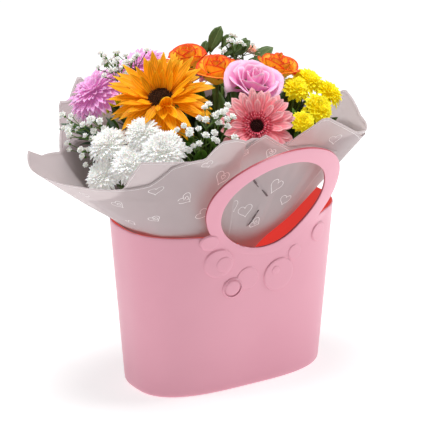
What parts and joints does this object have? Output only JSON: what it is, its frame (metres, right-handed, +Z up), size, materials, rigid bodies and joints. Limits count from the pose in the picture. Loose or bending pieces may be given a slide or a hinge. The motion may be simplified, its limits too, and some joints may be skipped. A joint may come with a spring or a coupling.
{
  "type": "flower bag arrangement",
  "caption": "Mixed bouquet in folded wrapping paper, standing in a moulded plastic bag with leaning ring handles.",
  "frame": {"origin": "centre of the bag's foot, on the surface it stands on", "axes": "+Z up, +X along the bag's long side, -Y out of its front face"},
  "size_m": [0.3737, 0.2906, 0.378],
  "materials": {
    "bag_plastic": "satin moulded plastic, coral red inside",
    "paper": "wrapping film paper with white heart outlines",
    "twine": "rough twine",
    "ribbon": "satin ribbon",
    "sunflower_petal": "petal",
    "pink_petal": "petal",
    "salmon_petal": "petal",
    "lilac_petal": "petal",
    "mauve_petal": "petal",
    "orange_petal": "petal, red at the edge",
    "white_petal": "petal",
    "yellow_petal": "petal",
    "tiny_floret": "small papery floret",
    "leaf": "waxy leaf"
  },
  "bodies": {
    "root": {"bag_shell": "bag_plastic", "wrap_sheet_1": "paper", "wrap_sheet_2": "paper", "wrap_sheet_3": "paper", "wrap_sheet_4": "paper", "wrap_sheet_5": "paper", "wrap_sheet_6": "paper", "stem_tie": "twine", "wrap_ribbon": "ribbon", "sunflower": "sunflower_petal", "pink_gerbera": "pink_petal", "salmon_gerbera": "salmon_petal", "lilac_gerbera_left": "lilac_petal", "lilac_gerbera_back": "lilac_petal", "mauve_rose": "mauve_petal", "orange_rose_1": "orange_petal", "orange_rose_2": "orange_petal", "orange_rose_3": "orange_petal", "pink_gerbera_rear": "pink_petal", "mauve_rose_rear": "mauve_petal", "white_spray_1": "white_petal", "white_spray_2": "white_petal", "yellow_spray_1": "yellow_petal", "yellow_spray_2": "yellow_petal", "white_spray_rear": "white_petal", "yellow_spray_rear": "yellow_petal", "babys_breath_1": "tiny_floret", "babys_breath_2": "tiny_floret", "babys_breath_3": "tiny_floret", "babys_breath_4": "tiny_floret", "foliage_1": "leaf", "foliage_2": "leaf", "foliage_3": "leaf", "foliage_4": "leaf", "foliage_5": "leaf", "foliage_6": "leaf"}
  },
  "joints": []
}
